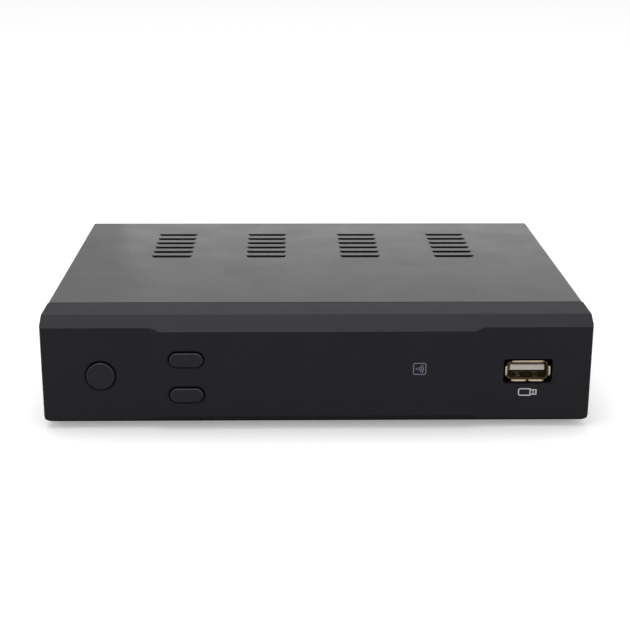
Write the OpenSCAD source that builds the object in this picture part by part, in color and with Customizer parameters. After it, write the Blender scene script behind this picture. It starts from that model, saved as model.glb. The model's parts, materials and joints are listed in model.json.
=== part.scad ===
// Small satellite television receiver: a moulded front panel on a folded steel case.
// Inside, x runs to the right, y runs back from the panel's side faces and z runs up from its underside.

/* [Housing] */
// Width across the front panel and the steel cover
body_w = 175; // [173:1:190]
// Depth from the side faces of the front panel to the back of the rear wall
body_d = 127; // [126:1:150]
// Height from the underside of the front panel to the top of the cover
body_h = 35; // [34.5:0.5:42]
// Thickness of the folded sheet steel
sheet = 0.7; // [0.6:0.1:0.9]
// Outer radius of the folds in the sheet steel
fold_r = 1; // [1:0.1:1.6]
// Gap that lets the cover slide over the tray and the panel's lip
slip_gap = 0.25; // [0.2:0.05:0.4]
// Height of the rubber feet
foot_h = 2; // [1.5:0.5:5]
// Radius of the rubber feet
foot_r = 5; // [4:0.5:8]
// How far in the feet sit from the sides, the rear wall and the seam
foot_inset = 12; // [10:1:20]

/* [Front panel] */
// Depth of the panel from its side faces to the seam with the cover
panel_d = 16.7; // [16.5:0.1:20]
// Wall thickness of the moulding
panel_wall = 2.2; // [2:0.1:2.5]
// How far the middle of the panel stands proud of its sides
bulge = 1.5; // [1:0.1:2]
// Width of the flat middle
middle_w = 98; // [96:1:104]
// Width of each soft step beside the middle
ramp_w = 4.3; // [3:0.1:6]
// Depth of the steep brow above the face
brow_d = 5; // [4:0.1:6]
// Rise of the steep brow
brow_h = 2.9; // [2:0.1:4]
// Further rise from the brow to the seam
crown_h = 0.4; // [0.2:0.1:0.8]
// Size of the bevel along the bottom edge of the side faces
toe = 1.1; // [0.6:0.1:1.5]
// Radius of the top corners seen from the front
top_r = 0.6; // [0.4:0.1:1.2]
// Radius of the bottom corners seen from the front
bottom_r = 2.5; // [1.5:0.1:3]
// Radius of the upright front edges
edge_r = 1; // [0.6:0.1:1.6]
// Depth of the lip that reaches under the cover
lip_d = 4; // [3:0.5:5]
// Open seam between the cover's front edge and the panel
seam_gap = 0.4; // [0.3:0.05:0.6]

/* [Keys] */
// How far the power key's centre sits in from the panel's left side
power_inset = 18.7; // [17.5:0.1:21.5]
// Height of the power key's centre
power_z = 15.8; // [14:0.1:18]
// Diameter of the power key
power_d = 8.9; // [8:0.1:10]
// Distance across the panel from the power key to the channel keys
channel_step = 27.3; // [26:0.1:30]
// Height of the middle between the two channel keys
channel_z = 15.7; // [15:0.1:17]
// Spacing of the two channel keys
channel_pitch = 11.8; // [11:0.1:13]
// Width of a channel key
channel_w = 10.6; // [9:0.1:11]
// Height of a channel key
channel_h = 4.6; // [4:0.1:5]
// Gap round a key in its hole
key_gap = 0.25; // [0.2:0.05:0.35]
// Width of the bevelled ring round each key hole
ring_w = 0.5; // [0.3:0.05:0.7]
// How far a key stands out of the panel
key_proud = 0.6; // [0.4:0.1:1]
// How far a key travels when it is pressed
key_travel = 0.5; // [0.3:0.1:0.6]
// Height of the raised marks on the keys
mark_h = 0.15; // [0.1:0.05:0.25]
// Depth at which the guide collars end inside the panel
guide_y = 3.7; // [3.5:0.1:3.8]
// Gap behind the collars while a key is at rest
rest_gap = 0.1; // [0.05:0.05:0.2]
// Thickness of the flange that keeps a key in
flange_t = 0.9; // [0.7:0.1:1]
// How far the flange stands out beyond the key
flange_w = 1.1; // [0.9:0.1:1.3]

/* [Front board] */
// Depth of the front board's component side
front_board_y = 10.4; // [10.2:0.1:10.8]
// Thickness of both circuit boards
board_t = 1.6; // [1:0.1:1.6]
// How far the front board's ends stay in from the panel's sides
front_board_inset = 12.5; // [12:0.1:13.5]
// Height of the front board
front_board_h = 24; // [23:0.5:25]
// Width of a tact switch
switch_w = 6; // [5.6:0.1:6.2]
// Height of a tact switch's body
switch_h = 3.5; // [3:0.1:3.8]
// Radius of a switch plunger
plunger_r = 1.65; // [1.4:0.05:1.75]
// Gap between a plunger and its bore
plunger_gap = 0.2; // [0.15:0.05:0.3]
// Width of the display module
display_w = 30; // [28:1:34]
// Height of the display module
display_h = 14; // [12:0.5:15]
// Depth of the display module
display_d = 7.2; // [6:0.1:7.4]
// Position of the display module's centre, to the right of the panel's middle
display_x = -3; // [-5:0.5:-1]
// Height of the display module's centre
display_z = 15.5; // [14.5:0.5:16.5]
// Distance across the panel from the USB socket to the infrared receiver
ir_step = 34.7; // [30:0.1:36]
// Height of the infrared receiver's centre
ir_z = 17.9; // [15:0.1:19]

/* [USB socket] */
// How far the socket's centre sits in from the panel's right side
usb_inset = 20.3; // [19.5:0.1:21.5]
// Height of the socket's centre
usb_z = 16.9; // [16:0.1:18]
// Outer width of the shell
usb_w = 13.1; // [13:0.05:13.3]
// Outer height of the shell
usb_h = 5.7; // [5.6:0.05:5.9]
// Thickness of the shell
usb_t = 0.3; // [0.25:0.05:0.35]
// How far the lips flare outwards
usb_flare = 0.7; // [0.5:0.05:0.8]
// Depth of the lips' edge behind the panel's side face
usb_y = 0.3; // [0.1:0.1:0.8]
// Gap between the lips and the cut-out
usb_gap = 0.6; // [0.4:0.1:0.8]

/* [Louvres] */
// Louvres in each group
louvre_rows = 6; // [2:1:6]
// Groups across the cover
louvre_groups = 4; // [1:1:4]
// Length of a louvre
louvre_l = 15; // [12:0.5:18]
// Width of the pressed strip
louvre_w = 3.2; // [2.6:0.1:3.6]
// Depth to which the strip's cut edge is pressed
louvre_depth = 1.4; // [1.2:0.1:1.8]
// Spacing of the rows
louvre_pitch = 6.5; // [6:0.1:7]
// Spacing of the groups
louvre_group_pitch = 34.6; // [30:0.1:38]
// Distance of the rearmost row's cut from the rear wall
louvre_back = 17.8; // [16:0.1:22]

/* [Tray] */
// Height of the side flanges
flange_h = 14; // [12:0.5:18]
// Height of the front flange between its ears
front_flange_h = 11; // [9:0.5:12]
// Depth of the lip along the top of the rear wall
rear_lip_d = 6; // [5:0.5:9]
// Height of the standoffs under the main board
standoff_h = 5; // [4:0.5:6]
// Radius of the standoffs
standoff_r = 3; // [2.7:0.1:3.5]
// Vent slots in each group in the floor
floor_slots = 7; // [3:1:8]
// Length of a floor slot
floor_slot_l = 18; // [12:1:20]
// Width of a floor slot
floor_slot_w = 2; // [1.5:0.1:2.5]

/* [Screws] */
// Radius of the screw threads
thread_r = 1.45; // [1.4:0.05:1.5]
// Radius of the screw heads
head_r = 2.8; // [2.6:0.1:3]
// Height of the screw heads
head_h = 1.5; // [1.2:0.1:1.8]
// Height of the cover screws above the panel's underside
cover_screw_z = 9; // [8:0.5:10]
// How far the cover screws sit in from the seam and from the rear wall
cover_screw_inset = 22; // [18:1:30]

/* [Main board] */
// How far the main board's sides stay in from the cover's sides
main_inset = 12.5; // [8.5:0.5:12.5]
// Depth of the main board
main_d = 92; // [90:1:94]
// How far the board's holes sit in from its edges
hole_inset = 5; // [4.5:0.5:6]

/* [Rear sockets] */
// Radius of an aerial socket's threaded barrel
aerial_r = 4.76; // [4.7:0.01:4.8]
// How far the aerial sockets stand out of the rear wall
aerial_out = 10; // [9:0.5:12]
// How far the aerial input sits in from the cover's side
aerial_inset = 27.5; // [25.5:0.5:29.5]
// Spacing of the two aerial sockets
aerial_pitch = 18; // [16:1:20]
// Height of the aerial sockets above the main board
aerial_up = 9; // [8:0.5:10]
// Position of the video socket's centre, to the right of the middle
hdmi_x = 18.5; // [18:0.5:20]
// Spacing of the three round audio and video sockets
av_pitch = 14; // [12:0.5:15]
// Position of the middle one of the three, to the left of the middle
av_x = 12; // [11:1:16]
// Outer radius of their metal shells
av_r = 4.15; // [4.1:0.05:4.2]
// How far the metal shells stand out
av_out = 8.5; // [8:0.5:9.5]
// Height of their centres above the main board
av_up = 9; // [8:0.5:10]
// How far the power inlet sits in from the cover's side
dc_inset = 25.5; // [21.5:0.5:29.5]
// Radius of the power inlet's mouth
dc_mouth_r = 3.1; // [2.9:0.1:3.3]
// Radius of the power inlet's pin
dc_pin_r = 1; // [0.8:0.05:1.25]

/* [Hidden] */
$fn = 48;
sink = 0.01;      // lets a cutter start just outside what it cuts
far = 300;        // longer than the whole receiver

// The receiver stands on its feet with the middle of its outer box over the origin
front_reach = bulge + key_proud + mark_h;
rear_reach = body_d + aerial_out;
face_y = (front_reach - rear_reach) / 2;

// Panel: the brow's slope, and its wall measured straight down
brow_slope = brow_h / brow_d;
brow_wall = panel_wall * norm([brow_d, brow_h]) / brow_d;
function brow_z(back) = body_h - crown_h - brow_slope * (brow_d - back);
ramp_steps = 8;
function ramp_y(t) = -bulge * (1 - cos(180 * t)) / 2;

// Places across the front
power_x = body_w / 2 - power_inset;
channel_x = power_x - channel_step;
usb_x = body_w / 2 - usb_inset;
ir_x = usb_x - ir_step;
front_board_w = body_w - 2 * front_board_inset;

// Tray and cover
inner_w = body_w - 2 * (sheet + slip_gap);
rear_in = body_d - sheet;
tray_front = panel_d + slip_gap;
wall_top = body_h - sheet;
front_half = body_w / 2 - panel_wall - slip_gap;
ear_h = body_h - 5;
ear_x = front_board_w / 2 - 2;
skirt_z = 0.5;
louvre_end = louvre_depth * 2.1; // length of the slope at each end of a louvre
lip_gap = 0.5;      // clearance under the lip that reaches into the cover
slot_pitch = 5;     // spacing of the floor slots
cut_depth = 1;      // how far a cutter reaches past the sheet that it cuts
side_flange_y = panel_d + lip_d + lip_gap;

// Panel bosses that take the panel screws, and low bosses that take the front board
boss_r = 2.8;
board_boss_r = 2.5;
boss_gap = 2;       // between a panel boss and the end of the front board
boss_root = 0.3;    // depth at which the bosses grow out of the panel's wall
pilot_r = thread_r + 0.02;
screw_clear = 0.15; // round a screw in a hole that it only passes through
cover_hole_clear = 0.25;
screw_l = 5;
recess_w = 0.6;     // arms of the cross recess in a screw's head
panel_boss_x = front_board_w / 2 + boss_r + boss_gap;
panel_boss_z = [7, body_h - 9];
front_board_z = 4;
screw_edge = 3.5;
front_screw_low = front_board_z + screw_edge;
front_screw_high = front_board_z + front_board_h - screw_edge;
front_screw_at = [
    [-(power_x + channel_x) / 2, front_screw_high],
    [-(channel_x - channel_w - 5), front_screw_low],
    [display_x + display_w / 2 + 8, front_screw_high],
    [usb_x - usb_w - 5, front_screw_low]
];

// Light shade round the display
shade_t = 1.2;
shade_gap = 0.5;
shade_back = 1.5;   // how far it stops short of the board

// Keys and switches: how far each face lies behind the panel's side faces
key_back = guide_y + rest_gap + flange_t;
stem_r = 1.5;
collar_t = 1;       // wall of a key's guide collar
key_round = 0.5;    // rounding of a key's front edge
mark_line = 0.5;    // width of a raised mark's lines
switch_floor = 0.3; // under a plunger that is pressed home
switch_top_y = front_board_y - switch_h;
stem_l = 0.6;
plunger_top_y = key_back + stem_l;
plunger_in = 1.8;
channel_up_z = channel_z + channel_pitch / 2;
channel_down_z = channel_z - channel_pitch / 2;
bore_l = guide_y + bulge + 1;

// Main board
main_w = body_w - 2 * main_inset;
main_z = sheet + standoff_h;
main_top = main_z + board_t;
main_back = rear_in - 0.5;
main_front = main_back - main_d;
standoff_floor = 1;

// Aerial sockets: a flange inside the rear wall, a relief behind the thread, a nut outside
aerial_x = body_w / 2 - aerial_inset;
aerial_xs = [aerial_x, aerial_x - aerial_pitch];
aerial_z = main_top + aerial_up;
aerial_bore_r = 3.4;
aerial_relief_r = aerial_r - 0.4;
aerial_flange_r = aerial_r + 1.24;
aerial_l = body_d + aerial_out - main_back;
aerial_edge = 0.5;
aerial_pin_r = 0.6;
insulator_floor = 3;
insulator_back = 0.4;
nut_h = 2;
nut_r = aerial_r + 1.6;
nut_gap = 0.05;
nut_out = body_d + nut_h - main_back + 0.1;
tuner_d = 26;
tuner_w = aerial_pitch + 13;
tuner_h = aerial_up + 6.5;
tuner_lid_h = 4;
tuner_lid_t = 0.3;

// Audio and video sockets: the shells stand on the coloured collars
av_xs = [for (i = [-1, 0, 1]) -av_x + i * av_pitch];
av_z = main_top + av_up;
av_t = 0.4;
av_slack = 0.02;
av_pin_r = 1.6;
av_l = body_d + av_out - main_back;
av_insert_back = 0.6;
av_edge = 0.3;
av_block_d = 13;
av_block_h = av_up + 5.5;
collar_r = av_r + 1.05;
collar_l = body_d + 0.6 - main_back;

// Video socket: a mouth with its lower corners cut away
hdmi_w = 14;
hdmi_h = 4.5;
hdmi_foot_w = 11.6;
hdmi_foot_h = 0.6;
hdmi_corner_h = 1.9;
hdmi_t = 0.4;
hdmi_z = main_top + hdmi_t;
hdmi_out = 0.8;
hdmi_d = 11;
hdmi_floor = 3;
hdmi_tongue_w = 11.4;
hdmi_tongue_t = 1.2;
hdmi_tongue_back = 1;

// Power inlet
dc_x = body_w / 2 - dc_inset;
dc_z = main_top + 6.5;
dc_nose_r = dc_mouth_r + 1.2;
dc_nose_root = 1;
dc_w = 2 * dc_nose_r + 0.4;
dc_h = 11;
dc_d = 13;
dc_out = 0.4;
dc_bore_l = 9;
dc_pin_back = 1;
dc_pin_point = 0.5;

// Openings in the rear wall, larger than what comes through them
wall_clear = 0.25;
hdmi_clear = 0.4;

// Chips, and parts placed from the processor or from the board's edges
chip_x = -8;
chip_y = main_front + 36;
chip_h = 1.2;
chip_w = 21;
heatsink_w = 26;
heatsink_h = 11;
heatsink_base = 2;
fins = 8;
fin_t = 1;
memory_size = [9, 13];
memory_step = 27;
flash_size = [5.3, 5.3, 1.8];
flash_step = 17;
crystal_size = [11, 4.6, 3.5];
crystal_step = 20;
inductor_w = 8;
inductor_r = 3.6;
inductor_h = 4.5;
inductor_foot_h = 1;
inductor_insets = [26, 38];
inductor_back = 48;

// Electrolytic cans: side of the board, distance from it and from the front edge, radius, height
cans = [
    [-1, 11, 66, 4, 12], [-1, 23, 58, 4, 12], [-1, 11, 54, 3.2, 11],
    [-1, 35, 70, 3.2, 11], [1, 35, 52, 2.5, 7], [1, 13, 50, 2.5, 7]
];
can_groove = 0.3;
can_bead = 1;

// USB socket: depth where the lips begin, and its tongue
lip_y = usb_y + usb_flare;
usb_corner = 1;
usb_split = 0.5;    // gap between the halves of the lower lip
tongue_w = 11.1;
tongue_t = 1.84;
tongue_y = 1.9;
tongue_z = usb_h / 2 - usb_t - 0.9 - tongue_t;
tongue_root = 1.8;
tongue_slack = 0.05;
contact_w = 1;
contact_t = 0.25;
contact_back = 0.8;
contact_xs = [-3.5, -1, 1, 3.5];

// Ribbon cable
ribbon_x = 32;
ribbon_w = 12.7;
ribbon_t = 0.9;
ribbon_z = 21;
ribbon_bend = 5;
ribbon_down_y = main_front + 8;
header_w = ribbon_w + 3;
header_d = 5;
header_h = 7;

// Colours
panel_black = "#29282d";
cover_black = "#4b4b4d";
steel = "#b9bcc0";
nickel = "#c9c7c0";
board_green = "#1f5a38";
socket_black = "#1b1b1d";
natural_white = "#d9d6cd";

// Moves what follows from the case's own frame to where the receiver stands
module in_case() translate([0, face_y, foot_h]) children();

// Runs a y-z outline along x, or an x-z outline along y
module along_x(x0, x1) translate([x0, 0, 0]) rotate([90, 0, 90]) linear_extrude(x1 - x0) children();
module along_y(y0, y1) translate([0, y1, 0]) rotate([90, 0, 0]) linear_extrude(y1 - y0) children();

// Turns a form that stands on the floor to face the viewer, or to face away at the back
module facing_front(x, y, z) translate([x, y, z]) rotate([90, 0, 0]) children();
module facing_back(x, y, z) translate([x, y, z]) rotate([-90, 0, 0]) children();

module both_sides() {
    children();
    mirror([1, 0, 0]) children();
}

// Everything under a height, as a cutter
module below(z) translate([-far / 2, -far / 2, z - far]) cube(far);

// Flat shapes
module rounded(w, h, r) {
    square([w - 2 * r, h], center = true);
    square([w, h - 2 * r], center = true);
    for (i = [-1, 1], j = [-1, 1])
        translate([i * (w / 2 - r), j * (h / 2 - r)]) circle(r);
}

module round_topped(w, h, r) {
    translate([-w / 2, 0]) square([w, h - r]);
    translate([-w / 2 + r, 0]) square([w - 2 * r, h]);
    for (i = [-1, 1]) translate([i * (w / 2 - r), h - r]) circle(r);
}

module slot(l, w) {
    square([l - w, w], center = true);
    for (i = [-1, 1]) translate([i * (l - w) / 2, 0]) circle(w / 2);
}

// Revolves a half outline at both ends of a straight run, for round and oval keys alike
module pill(straight) {
    for (i = [-1, 1]) translate([i * straight / 2, 0, 0]) rotate_extrude() children();
    if (straight > 0)
        translate([-straight / 2, 0, 0]) rotate([90, 0, 90]) linear_extrude(straight) {
            children();
            mirror([1, 0]) children();
        }
}

// Box that stands on z = 0 with chamfered upright edges
module block(w, d, h, c) {
    linear_extrude(h) polygon([
        [c - w / 2, -d / 2], [w / 2 - c, -d / 2], [w / 2, c - d / 2], [w / 2, d / 2 - c],
        [w / 2 - c, d / 2], [c - w / 2, d / 2], [-w / 2, d / 2 - c], [-w / 2, c - d / 2]
    ]);
}

// Cross-headed screw: its head stands on z = 0 and its thread runs down
module screw(l) {
    difference() {
        union() {
            rotate_extrude() polygon([
                [0, 0], [head_r, 0], [head_r, head_h * 0.45], [head_r * 0.8, head_h * 0.85],
                [head_r * 0.45, head_h], [0, head_h]
            ]);
            translate([0, 0, -l]) cylinder(l, thread_r, thread_r);
        }
        for (a = [0, 90])
            rotate(a) translate([0, 0, head_h]) cube([head_r, recess_w, head_h * 1.2], center = true);
    }
}

// Front panel ---------------------------------------------------------------------------------

module panel_plan() {
    half = body_w / 2;
    side = [
        for (i = [0:ramp_steps])
            let (t = 1 - i / ramp_steps) [middle_w / 2 + ramp_w * (1 - t), ramp_y(t)]
    ];
    corner = [for (a = [-90:15:0]) [half - edge_r + edge_r * cos(a), edge_r + edge_r * sin(a)]];
    right = concat(side, corner, [[half, panel_d]]);
    left = [for (i = [len(right) - 1:-1:0]) [-right[i][0], right[i][1]]];
    polygon(concat(right, left));
}

module panel_outside() {
    intersection() {
        along_x(-body_w / 2, body_w / 2) polygon([
            [panel_d, 0], [toe, 0], [-bulge, toe + bulge], [-bulge, brow_z(-bulge)],
            [brow_d, brow_z(brow_d)], [panel_d, body_h]
        ]);
        linear_extrude(body_h) panel_plan();
        along_y(-bulge, panel_d) intersection() {
            round_topped(body_w, body_h, top_r);
            translate([0, body_h]) mirror([0, 1]) round_topped(body_w, body_h, bottom_r);
        }
    }
}

module panel_cavity() {
    middle_y = panel_wall - bulge;
    along_x(-body_w / 2 + panel_wall, body_w / 2 - panel_wall) polygon([
        [far, panel_wall], [panel_wall, panel_wall], [panel_wall, brow_z(panel_wall) - brow_wall],
        [brow_d, brow_z(brow_d) - brow_wall], [panel_d, body_h - panel_wall], [far, body_h - panel_wall]
    ]);
    along_x(-middle_w / 2, middle_w / 2) polygon([
        [middle_y, panel_wall + bulge], [panel_wall + sink, panel_wall + bulge],
        [panel_wall + sink, brow_z(panel_wall) - brow_wall], [middle_y, brow_z(middle_y) - brow_wall]
    ]);
}

// Half outlines of a key hole, its collar and its key: r is half the key's height, face its wall's face
module key_hole(straight, r) pill(straight) polygon([
    [0, -bore_l], [r + key_gap, -bore_l], [r + key_gap, -ring_w], [r + key_gap + ring_w, 0],
    [r + key_gap + ring_w, cut_depth], [0, cut_depth]
]);

module key_collar(straight, r, l) pill(straight) polygon([
    [0, 0], [r + key_gap + collar_t, 0], [r + key_gap + collar_t, -l], [0, -l]
]);

module at_power(y) facing_front(-power_x, y, power_z) children();
module at_channel(y, z) facing_front(-channel_x, y, z) children();

module front_panel() color(panel_black) in_case() {
    channel_straight = channel_w - channel_h;
    difference() {
        union() {
            difference() {
                union() {
                    panel_outside();
                    difference() {
                        along_y(panel_d - panel_wall, panel_d + lip_d)
                            round_topped(inner_w, body_h - sheet - slip_gap, fold_r - sheet);
                        below(panel_wall + lip_gap);
                    }
                }
                panel_cavity();
            }
            at_power(boss_root) key_collar(0, power_d / 2, guide_y - boss_root);
            for (z = [channel_up_z, channel_down_z])
                at_channel(0, z) key_collar(channel_straight, channel_h / 2, guide_y);
            for (i = [-1, 1], z = panel_boss_z)
                facing_back(i * panel_boss_x, boss_root, z)
                    cylinder(tray_front - boss_root, boss_r, boss_r);
            for (p = front_screw_at)
                facing_back(p[0], boss_root, p[1])
                    cylinder(front_board_y - boss_root, board_boss_r, board_boss_r);
            shade();
        }
        at_power(0) key_hole(0, power_d / 2);
        for (z = [channel_up_z, channel_down_z])
            at_channel(-bulge, z) key_hole(channel_straight, channel_h / 2);
        for (i = [-1, 1], z = panel_boss_z)
            facing_back(i * panel_boss_x, tray_front - screw_l - 1, z)
                cylinder(far, pilot_r, pilot_r);
        for (p = front_screw_at)
            facing_back(p[0], front_board_y - screw_l, p[1]) cylinder(far, pilot_r, pilot_r);
        along_y(-far, panel_wall + sink) translate([usb_x, usb_z])
            rounded(usb_w + 2 * (usb_flare + usb_gap), usb_h + 2 * (usb_flare + usb_gap), usb_corner);
    }
}

// Light shade round the display, open towards the board
module shade() {
    w = display_w + 2 * shade_gap;
    h = display_h + 2 * shade_gap;
    along_y(boss_root, front_board_y - shade_back) translate([display_x, display_z]) difference() {
        square([w + 2 * shade_t, h + 2 * shade_t], center = true);
        square([w, h], center = true);
    }
}

// Cover ---------------------------------------------------------------------------------------

// The room that one pressed strip takes: from a height `from` down, its faces lowered by `drop`
module louvre_wedge(from, drop) {
    reach = louvre_depth + drop;
    grow = (reach + from) / louvre_depth;
    half = louvre_l / 2 + louvre_end * (from + drop) / louvre_depth;
    intersection() {
        along_x(-half, half) polygon([[0, from], [-louvre_w * grow, from], [0, -reach]]);
        along_y(-louvre_w * grow, 0) polygon([
            [-half, from], [half, from],
            [half - louvre_end * grow, -reach], [louvre_end * grow - half, -reach]
        ]);
    }
}

module at_louvres() {
    for (i = [0:louvre_groups - 1], j = [0:louvre_rows - 1])
        translate([
            (i - (louvre_groups - 1) / 2) * louvre_group_pitch,
            body_d - louvre_back - j * louvre_pitch, body_h
        ]) children();
}

module top_cover() color(cover_black) in_case() difference() {
    union() {
        difference() {
            along_y(panel_d + seam_gap, body_d) round_topped(body_w, body_h, fold_r);
            along_y(-far, far) round_topped(body_w - 2 * sheet, body_h - sheet, fold_r - sheet);
            below(skirt_z);
        }
        at_louvres() louvre_wedge(-sheet / 2, sheet);
    }
    at_louvres() translate([0, sink, 0]) louvre_wedge(cut_depth, 0);
    at_cover_screws() cylinder(far, thread_r + cover_hole_clear, thread_r + cover_hole_clear, center = true);
}

// Tray ----------------------------------------------------------------------------------------

// Section through the tray from front to back: front flange, floor, rear wall and its lip
module tray_section() {
    l = body_d - tray_front;
    difference() {
        translate([tray_front + l / 2, 0]) difference() {
            translate([0, wall_top / 2]) rounded(l, wall_top, fold_r);
            translate([0, wall_top / 2]) rounded(l - 2 * sheet, wall_top - 2 * sheet, fold_r - sheet);
        }
        translate([0, ear_h]) square([rear_in - rear_lip_d, far]);
    }
}

module chassis_tray() color(cover_black) in_case() difference() {
    union() {
        difference() {
            along_x(-inner_w / 2, inner_w / 2) tray_section();
            both_sides() {
                translate([inner_w / 2 - fold_r, 0, -cut_depth]) cube([far, far, flange_h + cut_depth]);
                translate([front_half, 0, -cut_depth]) cube([far, side_flange_y, far]);
            }
        }
        along_y(side_flange_y, body_d) difference() {
            translate([0, flange_h]) mirror([0, 1]) round_topped(inner_w, flange_h, fold_r);
            translate([0, flange_h + sheet]) mirror([0, 1])
                round_topped(inner_w - 2 * sheet, flange_h, fold_r - sheet);
        }
    }
    translate([-ear_x, 0, front_flange_h]) cube([2 * ear_x, panel_d + lip_d, far]);
    for (i = [-1, 1], z = panel_boss_z)
        screw_hole(i * panel_boss_x, panel_d, z, sheet + cut_depth);
    at_cover_screws() cylinder(far, pilot_r, pilot_r, center = true);
    for (i = [-1, 1], j = [0:floor_slots - 1])
        translate([chip_x + i * floor_slot_l * 0.7, chip_y + (j - (floor_slots - 1) / 2) * slot_pitch, 0])
            linear_extrude(2 * cut_depth, center = true) slot(floor_slot_l, floor_slot_w);
    for (x = aerial_xs) wall_hole(x, aerial_z, aerial_r);
    for (x = av_xs) wall_hole(x, av_z, collar_r);
    wall_hole(-dc_x, dc_z, dc_nose_r);
    along_y(rear_in - cut_depth, far) translate([hdmi_x, hdmi_z]) hdmi_outline(hdmi_t + hdmi_clear);
}

// Round openings: in the rear wall, and for a screw that passes through an upright sheet or board
module wall_hole(x, z, r) facing_back(x, rear_in - cut_depth, z)
    cylinder(far, r + wall_clear, r + wall_clear);

module screw_hole(x, y, z, l) facing_back(x, y, z)
    cylinder(l, thread_r + screw_clear, thread_r + screw_clear);

module rubber_feet() color("#161616") translate([0, face_y, 0])
    for (i = [-1, 1], y = [panel_d + foot_inset, body_d - foot_inset])
        translate([i * (inner_w / 2 - foot_inset), y, 0]) rotate_extrude()
            polygon([[0, 0], [foot_r * 0.88, 0], [foot_r, foot_h * 0.4], [foot_r, foot_h], [0, foot_h]]);

module standoffs() color(nickel) in_case() at_board_holes() translate([0, 0, sheet]) difference() {
    cylinder(standoff_h, standoff_r, standoff_r, $fn = 6);
    translate([0, 0, standoff_floor]) cylinder(standoff_h, pilot_r, pilot_r);
}

// Screws --------------------------------------------------------------------------------------

module at_board_holes() {
    for (i = [-1, 1], y = [main_front + hole_inset, main_back - hole_inset])
        translate([i * (main_w / 2 - hole_inset), y, 0]) children();
}

module at_cover_screws() {
    both_sides() for (y = [panel_d + cover_screw_inset, body_d - cover_screw_inset])
        translate([body_w / 2, y, cover_screw_z]) rotate([0, 90, 0]) children();
}

module cover_screws() color("#2c2c2e") in_case() at_cover_screws() screw(screw_l);

module panel_screws() color(steel) in_case() for (i = [-1, 1], z = panel_boss_z)
    facing_back(i * panel_boss_x, tray_front + sheet, z) screw(screw_l);

module front_board_screws() color(steel) in_case() for (p = front_screw_at)
    facing_back(p[0], front_board_y + board_t, p[1]) screw(screw_l);

module main_board_screws() color(steel) in_case()
    at_board_holes() translate([0, 0, main_top]) screw(screw_l);

// Keys ----------------------------------------------------------------------------------------

// A key stands on its face: r is half its height, wall_y the depth of the face that it stands out of
module key(straight, r, wall_y) {
    pill(straight) polygon(concat(
        [[0, key_proud]],
        [for (a = [0:22.5:90]) [r - key_round * (1 - sin(a)), key_proud - key_round * (1 - cos(a))]],
        [
            [r, wall_y - guide_y - rest_gap], [r + flange_w, wall_y - guide_y - rest_gap],
            [r + flange_w, wall_y - key_back], [0, wall_y - key_back]
        ]
    ));
    translate([0, 0, wall_y - plunger_top_y]) cylinder(plunger_top_y - key_back, stem_r, stem_r);
}

// Standby mark: an open ring with a bar through its gap
module standby_mark(r) linear_extrude(mark_h + sink) {
    difference() {
        circle(r);
        circle(r - mark_line);
        translate([-r * 0.35, 0]) square([r * 0.7, 2 * r]);
    }
    translate([-mark_line / 2, r * 0.1]) square([mark_line, r * 0.95]);
}

module chevron_mark(w) linear_extrude(mark_h + sink) polygon([
    [-w / 2, -w / 5], [0, w / 5], [w / 2, -w / 5],
    [w / 2, mark_line - w / 5], [0, w / 5 + mark_line], [-w / 2, mark_line - w / 5]
]);

module power_key() color(panel_black) in_case() at_power(0) {
    key(0, power_d / 2, 0);
    translate([0, 0, key_proud - sink]) standby_mark(power_d * 0.24);
}

module channel_key(z, turn) color(panel_black) in_case() at_channel(-bulge, z) {
    key(channel_w - channel_h, channel_h / 2, -bulge);
    translate([0, 0, key_proud - sink]) rotate(turn) chevron_mark(channel_h * 0.5);
}

module channel_up_key() channel_key(channel_up_z, 0);
module channel_down_key() channel_key(channel_down_z, 180);

// A tact switch stands on the front board; its plunger's end meets the key's stem
module switch_body(x, z) color(socket_black) in_case() facing_front(x, front_board_y, z) difference() {
    block(switch_w, switch_w, switch_h, 0.5);
    translate([0, 0, switch_h - plunger_in - key_travel - switch_floor])
        cylinder(far, plunger_r + plunger_gap, plunger_r + plunger_gap);
}

module plunger(x, z) color("#8d8d8d") in_case() facing_back(x, plunger_top_y, z)
    cylinder(switch_top_y + plunger_in - plunger_top_y, plunger_r, plunger_r);

module power_switch() switch_body(-power_x, power_z);
module channel_up_switch() switch_body(-channel_x, channel_up_z);
module channel_down_switch() switch_body(-channel_x, channel_down_z);
module power_plunger() plunger(-power_x, power_z);
module channel_up_plunger() plunger(-channel_x, channel_up_z);
module channel_down_plunger() plunger(-channel_x, channel_down_z);

// Front board ---------------------------------------------------------------------------------

module front_board() color(board_green) in_case() difference() {
    along_y(front_board_y, front_board_y + board_t) translate([0, front_board_z + front_board_h / 2])
        rounded(front_board_w, front_board_h, 1);
    for (p = front_screw_at) screw_hole(p[0], front_board_y - cut_depth, p[1], far);
}

module display_module() color("#0f0f12") in_case() facing_front(display_x, front_board_y, display_z)
    block(display_w, display_h, display_d, 0.4);

module infrared_receiver() color("#191420") in_case() facing_front(ir_x, front_board_y, ir_z) {
    block(6, 7, 4, 0.5);
    translate([0, 0, 4]) intersection() {
        sphere(2.4);
        cylinder(3, 3, 3);
    }
}

module usb_lip(length) along_x(-length / 2, length / 2) polygon([
    [lip_y + usb_t, usb_h / 2 - usb_t], [lip_y + usb_t, usb_h / 2], [lip_y, usb_h / 2],
    [usb_y, usb_h / 2 + usb_flare], [usb_y, usb_h / 2 + usb_flare - usb_t], [lip_y, usb_h / 2 - usb_t]
]);

module usb_side_lip(length) linear_extrude(length, center = true) polygon([
    [usb_w / 2 - usb_t, lip_y + usb_t], [usb_w / 2 - usb_t, lip_y], [usb_w / 2 + usb_flare - usb_t, usb_y],
    [usb_w / 2 + usb_flare, usb_y], [usb_w / 2, lip_y], [usb_w / 2, lip_y + usb_t]
]);

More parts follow.
